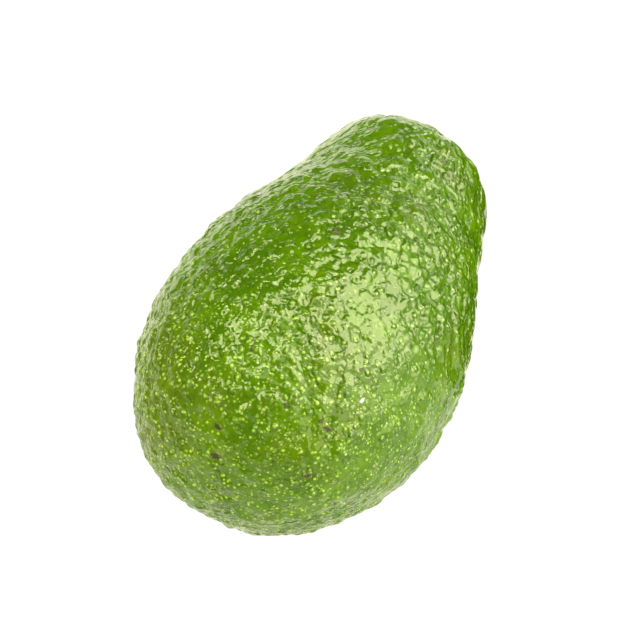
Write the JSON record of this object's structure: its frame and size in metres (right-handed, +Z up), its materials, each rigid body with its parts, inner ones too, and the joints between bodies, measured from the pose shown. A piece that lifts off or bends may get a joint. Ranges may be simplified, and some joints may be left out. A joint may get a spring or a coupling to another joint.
{
  "type": "avocado",
  "caption": "Whole green avocado lying on its side: a full belly, a straight tapering neck, pebbled glossy skin with pale dots, and a woody stem button in its cavity.",
  "frame": {"origin": "middle of the bounding box, on the surface that the fruit rests on", "axes": "+Z up, +X along the fruit from the blossom end towards the stem end, seen from above"},
  "size_m": [0.1083, 0.0678, 0.0688],
  "materials": {
    "skin": "glossy, waxy fresh green skin with paler yellow-green dots and small brown corky scars",
    "stem_wood": "dry, matt brown bark with a paler, rough cut end"
  },
  "bodies": {
    "root": {"fruit": "skin", "stem_button": "stem_wood"}
  },
  "joints": []
}
